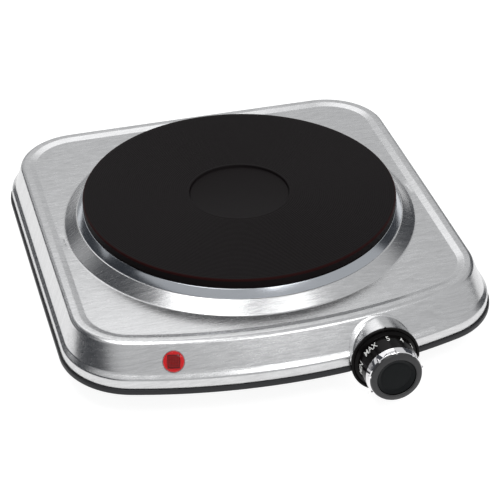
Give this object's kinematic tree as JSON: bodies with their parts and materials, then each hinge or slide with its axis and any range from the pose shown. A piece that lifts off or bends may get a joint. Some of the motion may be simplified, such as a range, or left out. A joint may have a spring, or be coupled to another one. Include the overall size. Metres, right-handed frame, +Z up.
{
  "type": "single hot plate burner",
  "caption": "Portable electric hot plate with a round cast plate on a low steel housing, a front control knob and a pilot lamp.",
  "frame": {"origin": "under the middle of the whole part, on the table the feet stand on", "axes": "+Z up, -Y out of the front where the knob is, +X to the right seen from the front"},
  "size_m": [0.2508, 0.2872, 0.056],
  "materials": {
    "housing_steel": "fine grain brushed from side to side",
    "base_paint": "satin black paint",
    "plate_iron": "dark heat-resistant coating, fine turned grooves",
    "trim_steel": "bright stainless steel",
    "knob_plastic": "glossy black with white marks",
    "knob_chrome": "bright chrome plate",
    "knob_cap_plastic": "smooth dark face",
    "lens_red": "clear red over a gridded reflector",
    "gland_plastic": "black, fine texture",
    "white_plastic": "plain",
    "bulb_glass": "thin glass",
    "ceramic_white": "unglazed steatite",
    "contact_brass": "rolled strip",
    "wire_brown": "silicone sleeve",
    "wire_blue": "silicone sleeve",
    "wire_black": "silicone sleeve",
    "wire_green": "silicone sleeve",
    "wire_red": "silicone sleeve",
    "foot_rubber": "matt rubber",
    "zinc_steel": "zinc plated"
  },
  "bodies": {
    "base": {"housing": "housing_steel", "base_pan": "base_paint", "foot_front_left": "foot_rubber", "base_screw_front_left": "zinc_steel", "housing_post_front_left": "zinc_steel", "foot_back_left": "foot_rubber", "base_screw_back_left": "zinc_steel", "housing_post_back_left": "zinc_steel", "foot_front_right": "foot_rubber", "base_screw_front_right": "zinc_steel", "housing_post_front_right": "zinc_steel", "foot_back_right": "foot_rubber", "base_screw_back_right": "zinc_steel", "housing_post_back_right": "zinc_steel", "hotplate": "plate_iron", "trim_ring": "trim_steel", "heating_coil_inner": "zinc_steel", "heating_coil_outer": "zinc_steel", "coil_cement": "ceramic_white", "plate_cover": "zinc_steel", "centre_stud": "zinc_steel", "clamp_bar": "zinc_steel", "centre_washer": "zinc_steel", "centre_nut": "zinc_steel", "terminal_pin_left": "contact_brass", "terminal_pin_middle": "contact_brass", "terminal_pin_right": "contact_brass", "terminal_ceramic": "ceramic_white", "heat_shield": "zinc_steel", "thermostat_frame": "zinc_steel", "thermostat_body": "ceramic_white", "contact_strip": "contact_brass", "bimetal_strip": "zinc_steel", "thermostat_screw_left": "zinc_steel", "thermostat_screw_right": "zinc_steel", "lamp_lens": "lens_red", "lamp_nut": "zinc_steel", "lamp_body": "white_plastic", "neon_bulb": "bulb_glass", "cord_gland": "gland_plastic", "gland_nut": "gland_plastic", "terminal_block": "white_plastic", "wire_live": "wire_brown", "wire_neutral": "wire_blue", "wire_switched": "wire_black", "earth_tab": "contact_brass", "wire_earth": "wire_green", "wire_lamp": "wire_red", "thermal_fuse": "zinc_steel"},
    "knob": {"knob_body": "knob_plastic", "knob_trim": "knob_chrome", "knob_cap": "knob_cap_plastic", "knob_clip": "zinc_steel", "spindle": "zinc_steel"},
    "pin": {"push_pin": "ceramic_white"},
    "leaf": {"contact_leaf": "contact_brass"}
  },
  "joints": [
    {"name": "knob_turn", "type": "hinge", "parent": "base", "child": "knob", "pos_m": [0.0459, -0.12338, 0.0212], "axis": [0, -0.9976, 0.0698], "range_deg": [-44, 276]},
    {"name": "pin_slide", "type": "slide", "parent": "base", "child": "pin", "axis": [0, -0.9976, 0.0698], "range_m": [-0.0003, 0.0018]},
    {"name": "leaf_hinge", "type": "hinge", "parent": "base", "child": "leaf", "pos_m": [0.0255, -0.08896, 0.01879], "axis": [0, 0.0698, 0.9976], "range_deg": [-4.2, 0.8]}
  ],
  "couplings": [
    {"joint": "pin_slide", "follows": "knob_turn", "m_per_rad": 0.000358},
    {"joint": "leaf_hinge", "follows": "knob_turn", "ratio": -0.01432}
  ]
}
